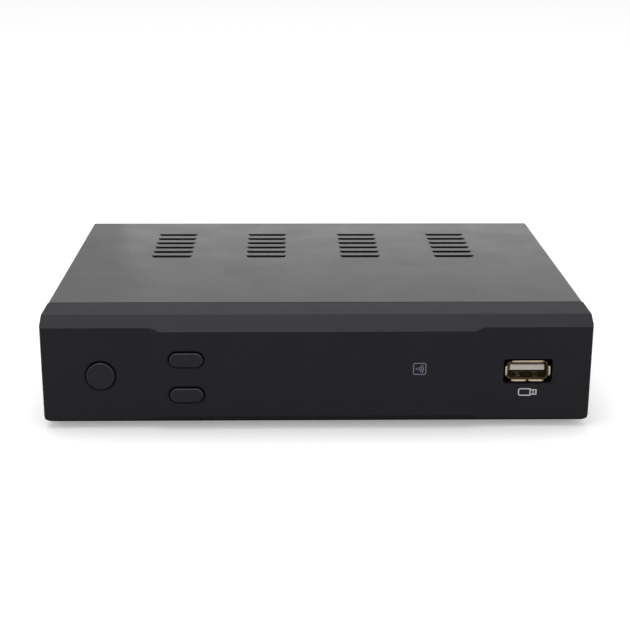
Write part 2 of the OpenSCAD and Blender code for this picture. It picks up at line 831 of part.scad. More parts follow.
module usb_shell() color(nickel) in_case() translate([usb_x, 0, usb_z]) {
    top_lip = usb_w * 0.8;
    side_lip = usb_h * 0.6;
    along_y(lip_y, front_board_y) difference() {
        rounded(usb_w, usb_h, usb_corner);
        rounded(usb_w - 2 * usb_t, usb_h - 2 * usb_t, usb_corner - usb_t);
    }
    usb_lip(top_lip);
    mirror([0, 0, 1]) difference() {
        usb_lip(top_lip);
        cube([usb_split, far, far], center = true);
    }
    both_sides() usb_side_lip(side_lip);
}

module usb_tongue() color(natural_white) in_case() translate([usb_x, 0, usb_z]) {
    wall = usb_t + tongue_slack;
    along_y(front_board_y - tongue_root, front_board_y)
        rounded(usb_w - 2 * wall, usb_h - 2 * wall, usb_corner - usb_t);
    along_y(tongue_y, front_board_y - tongue_root / 2) translate([-tongue_w / 2, tongue_z])
        square([tongue_w, tongue_t]);
}

module usb_contacts() color("#d8b25a") in_case() translate([usb_x, 0, usb_z])
    along_y(tongue_y + contact_back, front_board_y - tongue_root) for (x = contact_xs)
        translate([x - contact_w / 2, tongue_z - contact_t]) square([contact_w, contact_t]);

// Main board ----------------------------------------------------------------------------------

module main_board() color(board_green) in_case() difference() {
    translate([0, (main_front + main_back) / 2, main_z]) block(main_w, main_d, board_t, 1);
    at_board_holes() cylinder(far, thread_r + screw_clear, thread_r + screw_clear);
}

// Moves a part to a place on the main board's top
module on_board(x, y) translate([x, y, main_top]) children();

module processor() color(socket_black) in_case()
    on_board(chip_x, chip_y) block(chip_w, chip_w, chip_h, 0.6);

module heatsink() color(steel) in_case() on_board(chip_x, chip_y)
    translate([0, heatsink_w / 2, chip_h]) rotate([90, 0, 0]) linear_extrude(heatsink_w) {
        translate([-heatsink_w / 2, 0]) square([heatsink_w, heatsink_base]);
        for (i = [0:fins - 1])
            translate([i * (heatsink_w - fin_t) / (fins - 1) - heatsink_w / 2, 0])
                square([fin_t, heatsink_h]);
    }

module memory_chip() color(socket_black) in_case()
    on_board(chip_x + memory_step, chip_y) block(memory_size[0], memory_size[1], chip_h, 0.3);

module flash_chip() color(socket_black) in_case()
    on_board(chip_x + memory_step, chip_y - flash_step)
        block(flash_size[0], flash_size[1], flash_size[2], 0.3);

// One can: its sleeve is drawn in over the seal near its foot, and its shoulder is bevelled
module can(r, h) rotate_extrude() polygon([
    [0, 0], [r, 0], [r, can_bead], [r - can_groove, can_bead * 1.5], [r, can_bead * 2],
    [r, h - can_groove], [r - can_groove, h], [0, h]
]);

module capacitors() color("#23262e") in_case() for (c = cans)
    on_board(c[0] * (main_w / 2 - c[1]), main_front + c[2]) can(c[3], c[4]);

module inductors() color("#3a3a3c") in_case() for (inset = inductor_insets)
    on_board(inset - main_w / 2, main_front + inductor_back) {
        block(inductor_w, inductor_w, inductor_foot_h, 1);
        cylinder(inductor_h, inductor_r, inductor_r);
    }

module crystal() color(steel) in_case() on_board(chip_x - crystal_step, chip_y) rotate(90)
    linear_extrude(crystal_size[2]) slot(crystal_size[0], crystal_size[1]);

module tuner_can() color(steel) in_case()
    on_board((aerial_xs[0] + aerial_xs[1]) / 2, main_back - tuner_d / 2) {
        block(tuner_w, tuner_d, tuner_h, 0.5);
        translate([0, -tuner_lid_t, tuner_h + tuner_lid_t - tuner_lid_h])
            block(tuner_w + 2 * tuner_lid_t, tuner_d - 2 * tuner_lid_t, tuner_lid_h, 0.5);
    }

// Aerial socket: its flange sits between the tuner and the rear wall
module aerial_socket(x) color(nickel) in_case() facing_back(x, main_back, aerial_z)
    rotate_extrude() polygon([
        [aerial_bore_r, 0], [aerial_flange_r, 0], [aerial_flange_r, rear_in - main_back],
        [aerial_relief_r, rear_in - main_back], [aerial_relief_r, nut_out], [aerial_r, nut_out],
        [aerial_r, aerial_l - aerial_edge], [aerial_r - aerial_edge, aerial_l],
        [aerial_bore_r, aerial_l]
    ]);

module aerial_input() aerial_socket(aerial_xs[0]);
module aerial_loop_output() aerial_socket(aerial_xs[1]);

module aerial_nuts() color(nickel) in_case() for (x = aerial_xs)
    facing_back(x, body_d, aerial_z) linear_extrude(nut_h) difference() {
        circle(nut_r, $fn = 6);
        circle(aerial_r + nut_gap);
    }

module aerial_insulators() color(natural_white) in_case() for (x = aerial_xs)
    facing_back(x, main_back, aerial_z) rotate_extrude() polygon([
        [0, 0], [aerial_bore_r - av_slack, 0], [aerial_bore_r - av_slack, aerial_l - insulator_back],
        [aerial_pin_r, aerial_l - insulator_back], [aerial_pin_r, insulator_floor], [0, insulator_floor]
    ]);

// Opening of the video socket, larger by g all round: its lower corners are cut away
module hdmi_outline(g) {
    half = hdmi_w / 2 + g;
    foot = hdmi_foot_w / 2 + g * 0.6;
    corner = hdmi_corner_h - g * 0.4;
    polygon([
        [-half, hdmi_h + g], [half, hdmi_h + g], [half, corner], [foot, hdmi_foot_h],
        [foot, -g], [-foot, -g], [-foot, hdmi_foot_h], [-half, corner]
    ]);
}

module hdmi_shell() color(nickel) in_case() translate([hdmi_x, 0, hdmi_z])
    along_y(main_back - hdmi_d, body_d + hdmi_out) difference() {
        hdmi_outline(hdmi_t);
        hdmi_outline(0);
    }

module hdmi_tongue() color(socket_black) in_case() translate([hdmi_x, 0, hdmi_z]) {
    along_y(main_back - hdmi_d, main_back - hdmi_d + hdmi_floor) hdmi_outline(-tongue_slack);
    along_y(main_back - hdmi_d, body_d + hdmi_out - hdmi_tongue_back)
        translate([0, hdmi_h * 0.6]) square([hdmi_tongue_w, hdmi_tongue_t], center = true);
}

// Audio and video sockets: one block, a coloured insert and a metal shell for each
module av_block() color(socket_black) in_case()
    on_board(-av_x, main_back - av_block_d / 2) block(3 * av_pitch, av_block_d, av_block_h, 0.6);

module at_av(i) facing_back(av_xs[i], main_back, av_z) children();

module av_insert(i, paint) color(paint) in_case() at_av(i) rotate_extrude() polygon([
    [av_pin_r, 0], [collar_r, 0], [collar_r, collar_l], [av_r - av_t - av_slack, collar_l],
    [av_r - av_t - av_slack, av_l - av_insert_back], [av_pin_r, av_l - av_insert_back]
]);

module av_insert_yellow() av_insert(2, "#d9b21c");
module av_insert_white() av_insert(1, "#dedbd2");
module av_insert_red() av_insert(0, "#a8211f");

module av_shells() color(nickel) in_case() for (i = [0:2]) at_av(i) rotate_extrude() polygon([
    [av_r - av_t, collar_l], [av_r, collar_l], [av_r, av_l - av_edge], [av_r - av_edge, av_l],
    [av_r - av_t, av_l]
]);

module dc_inlet() color(socket_black) in_case() difference() {
    union() {
        on_board(-dc_x, main_back - dc_d / 2) block(dc_w, dc_d, dc_h, 0.5);
        facing_back(-dc_x, main_back - dc_nose_root, dc_z)
            cylinder(body_d + dc_out - main_back + dc_nose_root, dc_nose_r, dc_nose_r);
    }
    facing_back(-dc_x, body_d + dc_out - dc_bore_l, dc_z) cylinder(far, dc_mouth_r, dc_mouth_r);
}

module dc_inlet_pin() color(nickel) in_case() facing_back(-dc_x, body_d + dc_out - dc_bore_l, dc_z)
    rotate_extrude() polygon([
        [0, 0], [dc_pin_r, 0], [dc_pin_r, dc_bore_l - dc_pin_back - dc_pin_point],
        [dc_pin_r - dc_pin_point, dc_bore_l - dc_pin_back], [0, dc_bore_l - dc_pin_back]
    ]);

// Ribbon cable between the two boards ---------------------------------------------------------

module front_header() color(natural_white) in_case()
    facing_back(ribbon_x, front_board_y + board_t, ribbon_z) block(header_w, header_d, header_h, 0.4);

module main_header() color(natural_white) in_case()
    on_board(ribbon_x, ribbon_down_y) block(header_w, header_d, header_h, 0.4);

// The ribbon's path seen from the side: back from one header, round a bend, down to the other
module ribbon_path() {
    y0 = front_board_y + board_t + header_h;
    z0 = main_top + header_h;
    bend_y = ribbon_down_y - ribbon_bend;
    bend_z = ribbon_z - ribbon_bend;
    translate([y0, ribbon_z - ribbon_t / 2]) square([bend_y - y0, ribbon_t]);
    translate([ribbon_down_y - ribbon_t / 2, z0]) square([ribbon_t, bend_z - z0]);
    translate([bend_y, bend_z]) intersection() {
        difference() {
            circle(ribbon_bend + ribbon_t / 2);
            circle(ribbon_bend - ribbon_t / 2);
        }
        square(far);
    }
}

module ribbon_cable() color("#8c8f96") in_case()
    along_x(ribbon_x - ribbon_w / 2, ribbon_x + ribbon_w / 2) ribbon_path();

front_panel();
top_cover();
chassis_tray();
rubber_feet();
standoffs();
cover_screws();
panel_screws();
front_board_screws();
main_board_screws();
power_key();
channel_up_key();
channel_down_key();
power_switch();
channel_up_switch();
channel_down_switch();
power_plunger();
channel_up_plunger();
channel_down_plunger();
front_board();
display_module();
infrared_receiver();
usb_shell();
usb_tongue();
usb_contacts();
main_board();
tuner_can();
aerial_input();
aerial_loop_output();
aerial_nuts();
aerial_insulators();
hdmi_shell();
hdmi_tongue();
av_block();
av_shells();
av_insert_yellow();
av_insert_white();
av_insert_red();
dc_inlet();
dc_inlet_pin();
processor();
heatsink();
memory_chip();
flash_chip();
capacitors();
inductors();
crystal();
front_header();
main_header();
ribbon_cable();
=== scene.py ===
# %% [markdown]
# # A small satellite television receiver
# The receiver is a moulded plastic front on a box of folded steel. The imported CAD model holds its
# construction, and this script gives it its looks: softened edges, pressed and turned details, and
# a finish for every surface. Everything is in metres, in the CAD model's own frame, so that a piece
# goes where the CAD says. Sizes that a maker would give in millimetres are multiplied by MM.

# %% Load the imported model
import json
import math

import bmesh
import bpy
from mathutils import Matrix, Vector
from mathutils.bvhtree import BVHTree

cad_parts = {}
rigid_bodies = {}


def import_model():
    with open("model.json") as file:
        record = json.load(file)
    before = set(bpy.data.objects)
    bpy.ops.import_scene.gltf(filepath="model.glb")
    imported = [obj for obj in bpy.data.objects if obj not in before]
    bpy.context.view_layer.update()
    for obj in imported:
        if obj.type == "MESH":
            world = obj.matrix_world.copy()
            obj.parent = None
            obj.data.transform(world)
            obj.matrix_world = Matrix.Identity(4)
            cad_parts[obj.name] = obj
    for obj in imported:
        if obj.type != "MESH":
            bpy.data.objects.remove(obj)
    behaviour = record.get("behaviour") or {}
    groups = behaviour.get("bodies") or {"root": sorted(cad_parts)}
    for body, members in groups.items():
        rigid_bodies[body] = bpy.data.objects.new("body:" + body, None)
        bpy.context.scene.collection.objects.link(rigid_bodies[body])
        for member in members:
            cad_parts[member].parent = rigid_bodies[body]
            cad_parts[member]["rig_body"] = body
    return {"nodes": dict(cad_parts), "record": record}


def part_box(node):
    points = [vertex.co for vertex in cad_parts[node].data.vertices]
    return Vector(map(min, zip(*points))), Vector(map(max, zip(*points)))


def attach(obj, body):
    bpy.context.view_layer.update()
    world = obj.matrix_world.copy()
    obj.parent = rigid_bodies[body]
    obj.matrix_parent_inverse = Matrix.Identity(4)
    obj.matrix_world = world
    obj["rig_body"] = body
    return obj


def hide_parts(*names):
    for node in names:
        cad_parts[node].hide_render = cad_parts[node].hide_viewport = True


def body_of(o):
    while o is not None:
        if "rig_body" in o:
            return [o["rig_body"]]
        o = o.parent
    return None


MM = 0.001
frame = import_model()
cad_nodes = frame["nodes"]
slot_of = {part["node"]: part["material_slot"] for part in frame["record"]["subparts"]}
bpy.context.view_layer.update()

# %% [markdown]
# ## Colours and shader nodes
# A colour is easiest to talk about as the hex code that a picture editor shows, but the renderer
# counts light, so one function turns each code into linear values. A second small function adds a
# shader node: it sets the node's own settings, fills or links its inputs, and hands the node back.

# %% Helpers for colours and shader nodes
def linear(code):
    channels = [int(code[i:i + 2], 16) / 255 for i in (1, 3, 5)]
    return [c / 12.92 if c <= 0.04045 else ((c + 0.055) / 1.055) ** 2.4 for c in channels] + [1.0]


def add(tree, kind, inputs=None, **settings):
    node = tree.nodes.new("ShaderNode" + kind)
    for name, value in settings.items():
        setattr(node, name, value)
    for name, value in (inputs or {}).items():
        if isinstance(value, bpy.types.NodeSocket):
            tree.links.new(value, node.inputs[name])
        else:
            node.inputs[name].default_value = value
    return node


print("charcoal in linear light", [round(c, 4) for c in linear("#29282d")[:3]])

# %% [markdown]
# ## One recipe for plain surfaces
# Most surfaces of the receiver differ in the same few ways: the colour wanders a little between two
# near tones, the gloss wanders with it, and a fine grain breaks up the highlights. They could each
# be drawn as an image, but noise that is measured in the object's own millimetres needs no
# unwrapping and looks the same from every side. So one recipe takes the real sizes and files the
# finish under its slot, and the special finishes add their own nodes to what it returns.

# %% The recipe
finishes = {}


def surface(slot, name, tones, patch, rough, grain, depth, metal=0.0, fixed=None):
    """tones: two hex colours. patch and grain: sizes in mm. depth: height of the grain in mm."""
    finishes[slot] = bpy.data.materials.new(name)
    finishes[slot].use_nodes = True
    tree = finishes[slot].node_tree
    tree.nodes.clear()
    place = add(tree, "TexCoord").outputs["Object"]
    drift = add(tree, "TexNoise", {"Vector": place, "Scale": 1 / (patch * MM), "Detail": 3.0})
    tone = add(tree, "MixRGB", {
        "Fac": drift.outputs["Fac"], "Color1": linear(tones[0]), "Color2": linear(tones[1])})
    gloss = add(tree, "MapRange", {  # the noise seldom leaves 0.3 to 0.7
        "Value": drift.outputs["Fac"], "From Min": 0.3, "From Max": 0.7,
        "To Min": rough[0], "To Max": rough[1]})
    pores = add(tree, "TexNoise", {"Vector": place, "Scale": 1 / (grain * MM), "Detail": 2.0})
    relief = add(tree, "Bump", {
        "Height": pores.outputs["Fac"], "Distance": depth * MM, "Strength": 1.0})
    shader = add(tree, "BsdfPrincipled", {
        "Base Color": tone.outputs["Color"], "Roughness": gloss.outputs["Result"],
        "Normal": relief.outputs["Normal"], "Metallic": metal, **(fixed or {})})
    add(tree, "OutputMaterial", {"Surface": shader.outputs["BSDF"]})
    return tree, {"place": place, "tone": tone, "pores": pores, "shader": shader}


# %% [markdown]
# ## Moulded ABS of the front panel and the keys
# The panel is injection-moulded ABS, dyed nearly black, and its mould was spark-eroded to a fine
# matt texture. That gives the eye a soft, even charcoal with no clear reflections. ABS has an IOR
# of 1.53. The texture keeps most of the gloss back, so the specular level is lowered. The keys come
# from a polished mould: darker, glossier and smoother. The real pits are about a tenth of a
# millimetre wide; they are drawn about half a millimetre wide, because finer ones wouldn't show.

# %% Moulded ABS
ABS_IOR = 1.53
surface("panel_abs", "moulded_abs_spark_eroded", ("#2a282c", "#2f2d31"), patch=9,
        rough=(0.5, 0.56), grain=0.45, depth=0.018,
        fixed={"IOR": ABS_IOR, "Specular IOR Level": 0.13})
surface("key_abs", "moulded_abs_key_cap", ("#1c1b20", "#201f24"), patch=4,
        rough=(0.22, 0.26), grain=0.5, depth=0.002,
        fixed={"IOR": ABS_IOR, "Specular IOR Level": 0.3})
print("finishes", sorted(finishes))

# %% [markdown]
# ## Powder coat on the steel
# The cover and the tray are sheet steel with a thin powder coat, baked on. The powder flows into a
# skin with a faint orange peel. The gloss differs a little from place to place, which shows as soft
# smudges wherever the surface is seen at a low angle, and the cover brightens towards the back,
# where that angle is lowest. An epoxy coat has an IOR of about 1.5. The real peel is a few tenths
# of a millimetre wide; its bumps are drawn 0.6 mm wide and its specks of colour 0.9 mm wide,
# because finer ones would vanish between the picture's pixels.

# %% Powder coat
SPECK = 0.9


def powder_coat(slot, name, tones, rough):
    tree, parts = surface(slot, name, tones, patch=14, rough=rough, grain=0.6, depth=0.007,
                          fixed={"IOR": 1.5})
    specks = add(tree, "TexNoise", {
        "Vector": parts["place"], "Scale": 1 / (SPECK * MM), "Detail": 4.0})
    speckle = add(tree, "MixRGB", {
        "Fac": specks.outputs["Fac"], "Color1": parts["tone"].outputs["Color"],
        "Color2": linear("#242426")})
    tree.links.new(speckle.outputs["Color"], parts["shader"].inputs["Base Color"])


powder_coat("cover_paint", "powder_coat_satin_black", ("#17171a", "#1a1a1c"), (0.255, 0.315))
powder_coat("tray_paint", "powder_coat_tray_black", ("#1d1d1e", "#252526"), (0.42, 0.5))
print("coats", [finishes[slot].name for slot in ("cover_paint", "tray_paint")])

# %% [markdown]
# ## Metals of the sockets and screws
# The sockets are nickel-plated and the screws zinc-plated or blackened. A metal's colour is its
# reflection, so each gets its own tint and gloss, and all keep the default IOR. Tumbling and
# stamping leave scratches far finer than a pixel, so they are drawn 0.3 to 0.5 mm wide.

# %% Metals
metals = {
    # warm pale grey with softened reflections
    "nickel": ("nickel_plate_tumbled", ("#c4bfb4", "#d3cec4"), 3, (0.2, 0.3), 0.4, 0.004),
    # the same plate over brass-coloured strip, which shines through as a warm glow
    "gold_nickel": ("nickel_plate_warm_stamped", ("#d9c8a8", "#e6d8bd"),
                    2.5, (0.22, 0.32), 0.5, 0.004),
    # thin, dull plate where the bath hardly reached, so it stays brownish and dim
    # painted shade: a dim, brownish copy of the nickel plate that stands in for the shade inside
    # the USB tube
    "inner_wall": ("nickel_plate_painted_shade_inner_wall", ("#6e5c3e", "#7d6b4c"),
                   2.5, (0.34, 0.44), 0.5, 0.004),
    # cool and bright
    "zinc_screw": ("zinc_plate_bright", ("#b7bcc2", "#c9cdd0"), 1.5, (0.25, 0.38), 0.3, 0.004),
    # nearly black, but with a metal's sheen at the rims
    "black_screw": ("black_oxide_steel", ("#2a2a2c", "#363638"), 1.5, (0.3, 0.42), 0.3, 0.005),
    # pale, with the slow waves that tin leaves when it runs off
    "tinned_steel": ("tinned_steel_dipped", ("#bcbfbf", "#cccfcd"), 7, (0.22, 0.42), 1.5, 0.006),
    # deep yellow, a little darker than fresh gold
    "contact_gold": ("gold_flash_on_bronze", ("#a58a55", "#b89c66"),
                     1.5, (0.26, 0.34), 0.3, 0.002),
}
for slot, values in metals.items():
    surface(slot, *values, metal=1.0)
print("metals", len(metals))

# %% [markdown]
# ## Plastics and rubber of the small parts
# The socket bodies and the plungers are glass-filled nylon, moulded smooth, which looks dark and
# dry. The insulators are unfilled natural nylon, a warm off-white. The audio collars are dyed ABS,
# glossier than the panel. The feet are nitrile rubber: dark and quite dull. Nylon and ABS both
# have an IOR of about 1.53, rubber 1.52.

# %% Plastics and rubber
small_plastics = {
    "socket_plastic": ("nylon_glass_filled_black", ("#141416", "#1b1b1d"), (0.42, 0.52)),
    "plunger_plastic": ("nylon_plunger_grey", ("#7e7e80", "#8c8c8d"), (0.4, 0.5)),
    "white_insulator": ("nylon_natural_moulded", ("#f4eee0", "#f9f4e8"), (0.38, 0.48)),
    "yellow_insert": ("abs_dyed_yellow", ("#d8aa18", "#e0b422"), (0.28, 0.36)),
    "white_insert": ("abs_dyed_white", ("#d6d3ca", "#dedbd2"), (0.28, 0.36)),
    "red_insert": ("abs_dyed_red", ("#9e1f1d", "#ab2623"), (0.28, 0.36)),
}
for slot, (name, tones, rough) in small_plastics.items():
    surface(slot, name, tones, patch=3, rough=rough, grain=0.5, depth=0.004,
            fixed={"IOR": ABS_IOR})
surface("rubber", "nitrile_rubber_moulded", ("#151515", "#1f1f1f"), patch=3,
        rough=(0.75, 0.9), grain=0.6, depth=0.02, fixed={"IOR": 1.52})
print("small plastics", len(small_plastics))

# %% [markdown]
# ## The parts on the circuit boards
# A circuit board is glass-fibre laminate under green solder mask, with copper tracks that show as
# slightly paler lines where the mask runs over them. The tracks are drawn as the joints of a brick
# pattern, whose rows lie one real pitch apart. The heatsink is extruded aluminium, so its grain is
# drawn out along the fins. The capacitors wear a shrunk sleeve, the coils are pressed ferrite with
# a dry look, and the ribbon is soft vinyl.

# %% Circuit board, heatsink, capacitors, coils and ribbon
TRACK_PITCH = 2.54
ROWS_PER_TILE = 4       # rows of bricks in one unit of the brick texture
mask_tones = ("#14432a", "#195233")
tree, parts = surface("circuit_board", "solder_mask_green", mask_tones, patch=12,
                      rough=(0.28, 0.36), grain=0.8, depth=0.004, fixed={"IOR": 1.55})
tracks = add(tree, "TexBrick", {
    "Vector": parts["place"], "Scale": 1 / (TRACK_PITCH * ROWS_PER_TILE * MM),
    "Mortar Size": 0.03, "Color1": linear(mask_tones[0]), "Color2": linear(mask_tones[1]),
    "Mortar": linear("#2b7048")})
tree.links.new(tracks.outputs["Color"], parts["shader"].inputs["Base Color"])

tree, parts = surface("heatsink_aluminium", "aluminium_extruded", ("#b4b7ba", "#c6c9cb"),
                      patch=5, rough=(0.3, 0.45), grain=0.5, depth=0.01, metal=1.0)
drawn = add(tree, "Mapping", {"Vector": parts["place"], "Scale": (1.0, 0.03, 1.0)})
tree.links.new(drawn.outputs["Vector"], parts["pores"].inputs["Vector"])
others = {
    "capacitor_sleeve": ("pvc_sleeve_dark", ("#1d2028", "#262a33"), (0.25, 0.33)),
    "ferrite": ("ferrite_pressed", ("#2e2e30", "#3c3c3e"), (0.55, 0.7)),
    "ribbon_vinyl": ("vinyl_ribbon_grey", ("#84878d", "#92959b"), (0.35, 0.45)),
}
for slot, (name, tones, rough) in others.items():
    surface(slot, name, tones, patch=3, rough=rough, grain=0.5, depth=0.01, fixed={"IOR": 1.52})
print("finishes", len(finishes), "missing", set(slot_of.values()) - set(finishes))

# %% [markdown]
# ## Making a piece
# Every piece that this script builds goes through the same gate: it gets its mesh, smooth shading
# that stops at real edges, the finish of its slot, and the CAD body that it moves with. Where it
# stands for a CAD node, that node is hidden and stays in the physics model only.

# %% Pieces
def piece(name, shape, node, stands_for=(), smooth=35, slot=None, finish=None):
    """node: the CAD node whose body and slot the piece takes. finish: where it isn't the slot's."""
    bmesh.ops.recalc_face_normals(shape, faces=shape.faces)
    mesh = bpy.data.meshes.new(name)
    shape.to_mesh(mesh)
    shape.free()
    mesh.polygons.foreach_set("use_smooth", [True] * len(mesh.polygons))
    mesh.set_sharp_from_angle(angle=math.radians(smooth))
    made = bpy.data.objects.new(name, mesh)
    bpy.context.scene.collection.objects.link(made)
    even = made.modifiers.new("even_normals", "WEIGHTED_NORMAL")
    even.keep_sharp = True
    slot = slot or slot_of[node]
    mesh.materials.append(finishes[finish or slot])
    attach(made, body_of(cad_nodes[node])[0])
    if stands_for:
        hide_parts(*stands_for)
    print(name, "faces", len(mesh.polygons))
    return made


# %% [markdown]
# ## Softened edges
# No real edge is perfectly sharp: a moulding has the radius of its tool, and sheet steel rounds
# over where it is sheared. Those small radii catch the light, and they are what makes a render look
# real. They could be built in the CAD, but a bevel here is quicker and changes no size. The copy of
# a CAD mesh is welded and its flat triangles are joined again, then the bevel runs along the edges
# that face open air. Edges deep inside stay plain, because nobody sees them.

# %% Soften a CAD node
WELD = 0.03 * MM
FLAT = math.radians(0.5)        # faces that meet within this angle lie in one plane
SHARP = math.radians(28)        # edges that turn by less are already rounded


def welded(node):
    shape = bmesh.new()
    shape.from_mesh(cad_nodes[node].data)
    bmesh.ops.remove_doubles(shape, verts=shape.verts, dist=WELD)
    bmesh.ops.dissolve_degenerate(shape, dist=WELD / 10, edges=shape.edges)
    return shape


def softened(node, width):
    shape = welded(node)
    bmesh.ops.dissolve_limit(shape, angle_limit=FLAT, verts=shape.verts, edges=shape.edges)
    shape.normal_update()
    solid = BVHTree.FromBMesh(shape)
    exposed = []
    for edge in shape.edges:
        if len(edge.link_faces) != 2 or not edge.is_convex or edge.calc_face_angle() < SHARP:
            continue
        outward = (edge.link_faces[0].normal + edge.link_faces[1].normal).normalized()
        middle = (edge.verts[0].co + edge.verts[1].co) / 2
        if solid.ray_cast(middle + outward * WELD, outward)[0] is None:
            exposed.append(edge)
    bmesh.ops.bevel(
        shape, geom=exposed, offset=width * MM, offset_type="OFFSET", segments=2,
        profile=0.5, affect="EDGES", clamp_overlap=True)
    return shape


# %% [markdown]
# ## Which edges are softened, and by how much
# Each visible node that keeps its CAD shape is named here with the new piece's name and the radius
# of its edges in millimetres: a moulding tool leaves about 0.2, sheared sheet about 0.1, and the
# fine raised marks on the keys allow only 0.05.

# %% Softened pieces
softened_nodes = {
    "front_panel": ("front_panel_moulding", 0.2),
    "chassis_tray": ("tray_sheet", 0.12),
    "power_key": ("power_key_cap", 0.05),
    "channel_up_key": ("channel_up_key_cap", 0.05),
    "channel_down_key": ("channel_down_key_cap", 0.05),
    "usb_tongue": ("usb_tongue_bar", 0.15),
    "hdmi_shell": ("hdmi_shell_sheet", 0.1),
    "hdmi_tongue": ("hdmi_tongue_bar", 0.1),
    "av_shells": ("av_shell_tubes", 0.08),
    "av_insert_yellow": ("av_collar_yellow", 0.15),
    "av_insert_white": ("av_collar_white", 0.15),
    "av_insert_red": ("av_collar_red", 0.15),
    "dc_inlet": ("dc_inlet_body", 0.2),
    "dc_inlet_pin": ("dc_inlet_post", 0.1),
    "aerial_insulators": ("aerial_insulator_cores", 0.15),
}
dressed = {node: piece(name, softened(node, width), node, [node])
           for node, (name, width) in softened_nodes.items()}

# %% [markdown]
# ## Rims of the keys: rubbed, with a painted highlight
# Fingers polish a key along its rounded rim first. The rim takes a second finish, the same ABS
# smoother and a little paler: partly that wear and partly a painted highlight, so each cap shows a
# bright line along its rim. A rim face is one that looks neither straight ahead nor straight
# sideways.

# %% Key rims
# the paler rim tone is partly wear and partly a painted highlight
surface("key_rim_wear_and_highlight", "moulded_abs_rubbed_rim_and_painted_highlight", ("#2e2d32", "#3b3a3f"), patch=3,
        rough=(0.24, 0.34), grain=0.5, depth=0.002,
        fixed={"IOR": ABS_IOR, "Specular IOR Level": 0.5})
for node in ("power_key", "channel_up_key", "channel_down_key"):
    mesh = dressed[node].data
    mesh.materials.append(finishes["key_rim_wear_and_highlight"])
    rim = [polygon for polygon in mesh.polygons if 0.1 < -polygon.normal.y < 0.97]
    for polygon in rim:
        polygon.material_index = 1
    print(node, "rim faces", len(rim))

# %% [markdown]
# ## The cover's sheet
# The cover is one sheet, folded down at both sides, with its louvres sheared and pressed in one
# stroke. A bevel would run the louvres' short edges into each other, so the mesh is only welded.
# Its side folds are shaded smooth, and the sheared and pressed faces of the louvres flat.

# %% Cover
TOP_REACH = 86 * MM     # beyond this, the top turns down into its side folds
cover = piece("cover_sheet", welded("top_cover"), "top_cover", ["top_cover"], smooth=18)
for polygon in cover.data.polygons:
    if abs(polygon.center.x) < TOP_REACH and polygon.normal.z < 0.99:
        polygon.use_smooth = False

# %% [markdown]
# ## Turned parts
# Nuts, screws, feet and threaded barrels all come off a lathe or out of a round mould. A spin or
# screw modifier could make them, but building the rings by hand lets a small function reshape each
# ring: into a hexagon for a nut, a cross for a screw's recess, or a helix for a thread. The skin
# between rows of points is useful for bent strips too, so it is a function of its own.

# %% A skin over rows of points, and a lathe
def skin(shape, rows, ring=True, ends=False):
    """Fills the quads between neighbouring rows. ring: each row closes on itself."""
    count = len(rows[0])
    for one, two in zip(rows, rows[1:]):
        for i in range(count if ring else count - 1):
            j = (i + 1) % count
            shape.faces.new((one[i], one[j], two[j], two[i]))
    if ends:
        shape.faces.new(rows[0])
        shape.faces.new(rows[-1])


def turned(rings, reshape=None, count=48, hollow=False):
    """rings: (radius, depth) in mm, in order. reshape turns (radius, depth, angle) into both."""
    shape = bmesh.new()
    loops = []
    for radius, depth in rings:
        loop = []
        for i in range(count):
            angle = 2 * math.pi * i / count
            r, z = reshape(radius, depth, angle) if reshape else (radius, depth)
            spot = Vector((r * math.cos(angle), r * math.sin(angle), z))
            loop.append(shape.verts.new(spot * MM))
        loops.append(loop)
    skin(shape, loops + loops[:1] if hollow else loops, ends=not hollow)
    return shape


def placed(shape, spot, towards):
    """Turns a part that stands along z to point along towards, and sets its foot on spot."""
    turn = Vector(towards).to_track_quat("Z", "Y").to_matrix().to_4x4()
    shape.transform(Matrix.Translation(spot) @ turn)
    return shape


# %% [markdown]
# ## Finding the separate solids of a node
# One CAD node can hold several equal parts, such as four screws. Walking along the mesh's edges
# from any point finds everything that is joined to it, and each such island gives one part's box.

# %% Solids of a node
def solids(node):
    """The box of each separate solid in a CAD node, sorted by place."""
    shape = bmesh.new()
    shape.from_mesh(cad_nodes[node].data)
    bmesh.ops.remove_doubles(shape, verts=shape.verts, dist=WELD / 10)
    left, boxes = set(shape.verts), []
    while left:
        stack, found = [left.pop()], []
        while stack:
            vert = stack.pop()
            found.append(vert.co.copy())
            for edge in vert.link_edges:
                other = edge.other_vert(vert)
                if other in left:
                    left.remove(other)
                    stack.append(other)
        boxes.append((Vector(map(min, *found)), Vector(map(max, *found))))
    shape.free()
    return sorted(boxes, key=lambda box: tuple(round(c / MM) for c in box[0]))


print("separate cover screws", len(solids("cover_screws")))

# %% [markdown]
# ## Rubber feet
# Each foot is a moulded button whose lower rim is rounded by the mould. It could be a bevelled
# cylinder, but the lathe draws the mould's own outline: a flat sole, the round rim, a slight taper.

# %% Feet
SOLE = 0.86         # radius of the flat sole, as a share of the foot's
RIM_R = 0.6         # rounding of the lower rim
for number, (low, high) in enumerate(solids("rubber_feet"), 1):
    radius, height = (high.x - low.x) / 2 / MM, (high.z - low.z) / MM
    rim = [(radius * 0.88 + RIM_R * math.sin(a), RIM_R - RIM_R * math.cos(a))
           for a in [math.radians(15 * i) for i in range(7)]]
    foot = turned([(radius * SOLE, 0), *rim, (radius, height * 0.6), (radius, height)])
    spot = Vector(((low.x + high.x) / 2, (low.y + high.y) / 2, low.z))
    piece(f"foot_{number}", placed(foot, spot, (0, 0, 1)), "rubber_feet", ["rubber_feet"])

# %% [markdown]
# ## Cover screws
# A pan-head screw with a cross recess holds each corner of the cover. The head is a low dome, and
# the recess is a cross whose arms taper towards the bottom, as the driver's tip does. A boolean
# could cut the cross, but here the inner rings simply follow it, which keeps the mesh clean: their
# radius is written as a negative number, whose size is the share of the cross that they cover.

# %% Screws
ARM = 0.62          # width of the recess's arms
RECESS = 1.55       # reach of the arms
DOME_R = 4.2        # radius of the pan head's dome
THREAD_R = 1.45     # radius of the screw's thread


